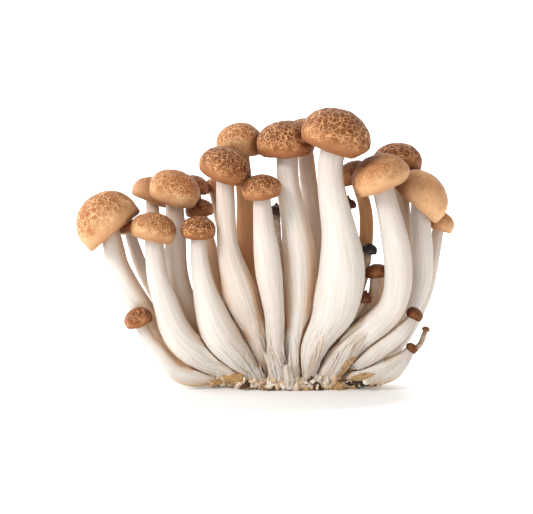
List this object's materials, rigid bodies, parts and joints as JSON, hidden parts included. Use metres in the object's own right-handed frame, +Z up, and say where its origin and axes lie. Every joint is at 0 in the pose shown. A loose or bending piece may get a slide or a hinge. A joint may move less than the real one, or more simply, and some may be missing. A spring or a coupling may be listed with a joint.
{
  "type": "beech mushroom cluster",
  "caption": "Cluster of brown beech mushrooms: crowded pale stems on one low butt, domed tan caps with a netted top.",
  "frame": {"origin": "middle of the butt's flat underside, on the surface that the cluster stands on", "axes": "+Z up; +X along the cluster, to the right as seen from its front; -Y its front"},
  "size_m": [0.1222, 0.0499, 0.0905],
  "materials": {
    "cap": "smooth skin, matte to satin, with a pale net over brown",
    "stem": "fine lengthwise fibres, matte",
    "base": "rough, with crumbs and white growth",
    "bud": "dried, matte"
  },
  "bodies": {
    "root": {"base": "base", "stem_01": "stem", "stem_02": "stem", "stem_03": "stem", "stem_04": "stem", "stem_05": "stem", "stem_06": "stem", "stem_07": "stem", "stem_08": "stem", "stem_09": "stem", "stem_10": "stem", "stem_11": "stem", "stem_12": "stem", "stem_13": "stem", "stem_14": "stem", "stem_15": "stem", "stem_16": "stem", "stem_17": "stem", "stem_18": "stem", "stem_19": "stem", "stem_20": "stem", "stem_21": "stem", "stem_22": "stem", "stem_23": "stem", "stem_24": "stem", "stem_25": "stem", "stem_26": "stem", "cap_01": "cap", "cap_02": "cap", "cap_03": "cap", "cap_04": "cap", "cap_05": "cap", "cap_06": "cap", "cap_07": "cap", "cap_08": "cap", "cap_09": "cap", "cap_10": "cap", "cap_11": "cap", "cap_12": "cap", "cap_13": "cap", "cap_14": "cap", "cap_15": "cap", "cap_16": "cap", "cap_17": "cap", "cap_18": "cap", "cap_19": "cap", "cap_20": "cap", "cap_21": "cap", "cap_22": "cap", "cap_23": "cap", "cap_24": "cap", "cap_25": "cap", "cap_26": "cap", "bud_01": "bud", "bud_02": "bud", "bud_03": "bud", "bud_04": "bud", "bud_05": "bud"}
  },
  "joints": []
}
